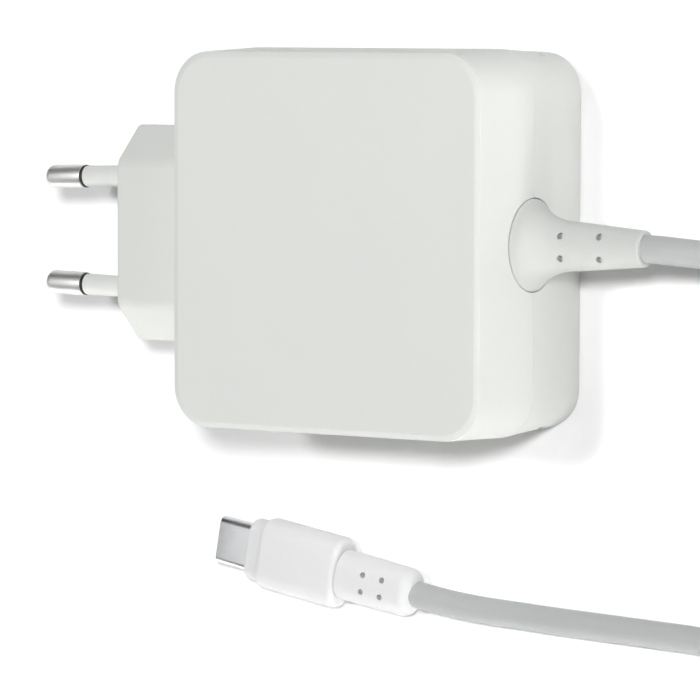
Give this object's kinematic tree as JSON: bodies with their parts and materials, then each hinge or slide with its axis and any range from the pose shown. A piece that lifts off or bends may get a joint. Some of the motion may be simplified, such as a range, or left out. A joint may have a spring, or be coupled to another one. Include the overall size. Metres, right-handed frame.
{
  "type": "laptop power adapter",
  "caption": "Square white wall power adapter with a fixed two-pin plug, fold-out cord hooks, a flared strain relief and a coiled cord ending in a USB-C plug.",
  "frame": {"origin": "middle of the housing's flat back face, on which the adapter lies", "axes": "+X from the two-pin plug towards the cord, +Y along the other side of the square, +Z out of the back face towards the front face"},
  "size_m": [0.1976, 0.1039, 0.032],
  "materials": {
    "white_plastic": "satin moulded polycarbonate, very fine texture",
    "white_soft": "soft moulded elastomer, matte",
    "white_sleeve": "pin insulation, semi-matte",
    "cord_jacket": "elastomer cord jacket, matte",
    "black_plastic": "black moulded plastic",
    "tie_strap": "hook-and-loop strap",
    "nickel": "nickel-plated brass pin",
    "steel": "drawn stainless steel",
    "contact_gold": "gold-plated contacts",
    "board": "solder-masked glass-epoxy board",
    "fuse_body": "ceramic tube with end caps",
    "copper_wire": "enamelled copper winding",
    "capacitor_box": "moulded plastic box",
    "chip": "black epoxy package",
    "capacitor_sleeve": "shrunk plastic sleeve over an aluminium can",
    "capacitor_can": "shrunk plastic sleeve over an aluminium can",
    "aluminium": "bare rolled sheet",
    "ferrite": "sintered ferrite",
    "winding_tape": "polyester tape over the winding",
    "blue_epoxy": "dipped epoxy coating",
    "insulating_paper": "pressed insulating paper",
    "wire_brown": "silicone wire insulation",
    "wire_blue": "silicone wire insulation",
    "wire_red": "silicone wire insulation",
    "wire_black": "silicone wire insulation"
  },
  "bodies": {
    "adapter": {"front_shell": "white_plastic", "rear_shell": "white_plastic", "hook_hinge_upper": "steel", "hook_hinge_lower": "steel", "plug_block": "white_plastic", "pin_upper": "nickel", "pin_sleeve_upper": "white_sleeve", "pin_collar_upper": "black_plastic", "pin_lower": "nickel", "pin_sleeve_lower": "white_sleeve", "pin_collar_lower": "black_plastic", "strain_relief": "white_soft", "cord_adapter_end": "cord_jacket", "cord_coil": "cord_jacket", "coil_tie": "tie_strap", "cord_usb_end": "cord_jacket", "usb_strain_relief": "white_soft", "usb_overmould": "white_soft", "usb_shell": "steel", "usb_insulator": "black_plastic", "usb_contacts_upper": "contact_gold", "usb_contacts_lower": "contact_gold", "circuit_board": "board", "fuse": "fuse_body", "mains_filter_choke": "copper_wire", "mains_filter_capacitor": "capacitor_box", "rectifier_bridge": "chip", "bulk_capacitor": "capacitor_sleeve", "primary_switch": "chip", "primary_heat_sink": "aluminium", "transformer_core": "ferrite", "transformer_winding": "winding_tape", "safety_capacitor": "blue_epoxy", "optocoupler": "chip", "output_capacitor_a": "capacitor_can", "output_capacitor_b": "capacitor_can", "output_choke": "copper_wire", "rectifier_chip": "chip", "controller_board": "board", "controller_chip": "chip", "heat_spreader": "aluminium", "insulation_sheet": "insulating_paper", "live_wire": "wire_brown", "neutral_wire": "wire_blue", "output_wire_positive": "wire_red", "output_wire_negative": "wire_black"},
    "upper_hook": {"cord_hook_upper": "white_plastic"},
    "lower_hook": {"cord_hook_lower": "white_plastic"}
  },
  "joints": [
    {"name": "upper_hook_hinge", "type": "hinge", "parent": "adapter", "child": "upper_hook", "pos_m": [0.02385, 0.0291, 0.0099], "axis": [0, 0, -1], "range_deg": [0, 90]},
    {"name": "lower_hook_hinge", "type": "hinge", "parent": "adapter", "child": "lower_hook", "pos_m": [0.02385, -0.0291, 0.0099], "axis": [0, 0, 1], "range_deg": [0, 90]}
  ]
}
